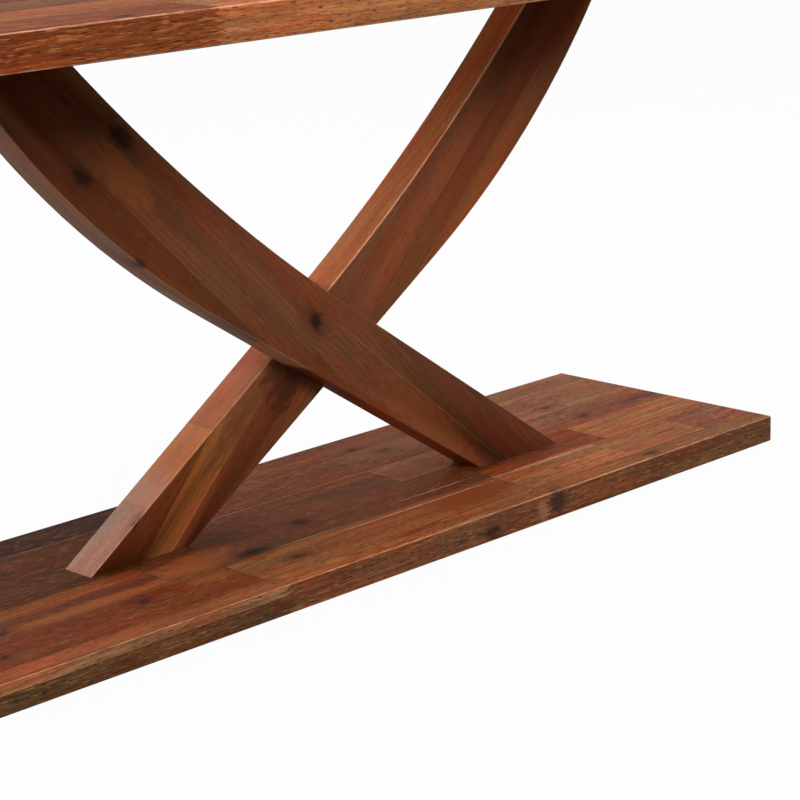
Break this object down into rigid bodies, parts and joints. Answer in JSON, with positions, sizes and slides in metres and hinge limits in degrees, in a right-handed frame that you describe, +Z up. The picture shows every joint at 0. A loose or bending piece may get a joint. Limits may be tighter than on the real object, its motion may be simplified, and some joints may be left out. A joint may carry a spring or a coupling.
{
  "type": "sawbuck table",
  "caption": "Long dining table on a crossed pair of curved, tapered wooden legs, bolted side by side between a flat base plank and a support plank under a butcher-block top.",
  "frame": {"origin": "on the floor, under the middle of the table", "axes": "+X along the table's length, +Y across it towards the rear leg, +Z up"},
  "size_m": [1.829, 0.914, 0.762],
  "materials": {
    "base_wood": "satin oiled acacia butcher block",
    "leg_wood": "satin oiled acacia, sawn from a laminated blank",
    "top_wood": "satin oiled acacia butcher block",
    "bolt_steel": "black oxide",
    "washer_steel": "bright zinc plated",
    "insert_zinc": "yellow zinc plated",
    "screw_zinc": "yellow zinc plated",
    "dowel_beech": "unfinished beech",
    "glide_nylon": "moulded nylon"
  },
  "bodies": {
    "root": {"base_plank": "base_wood", "support_plank": "base_wood", "front_leg": "leg_wood", "rear_leg": "leg_wood", "tabletop": "top_wood", "left_batten": "base_wood", "right_batten": "base_wood", "foot_bolts": "bolt_steel", "foot_washers": "washer_steel", "foot_inserts": "insert_zinc", "foot_dowels": "dowel_beech", "head_bolts": "bolt_steel", "head_washers": "washer_steel", "head_inserts": "insert_zinc", "head_dowels": "dowel_beech", "crossing_bolts": "bolt_steel", "crossing_washers": "washer_steel", "crossing_inserts": "insert_zinc", "support_screws": "screw_zinc", "support_screw_washers": "washer_steel", "batten_screws": "screw_zinc", "batten_screw_washers": "washer_steel", "glides": "glide_nylon", "glide_screws": "screw_zinc"}
  },
  "joints": []
}
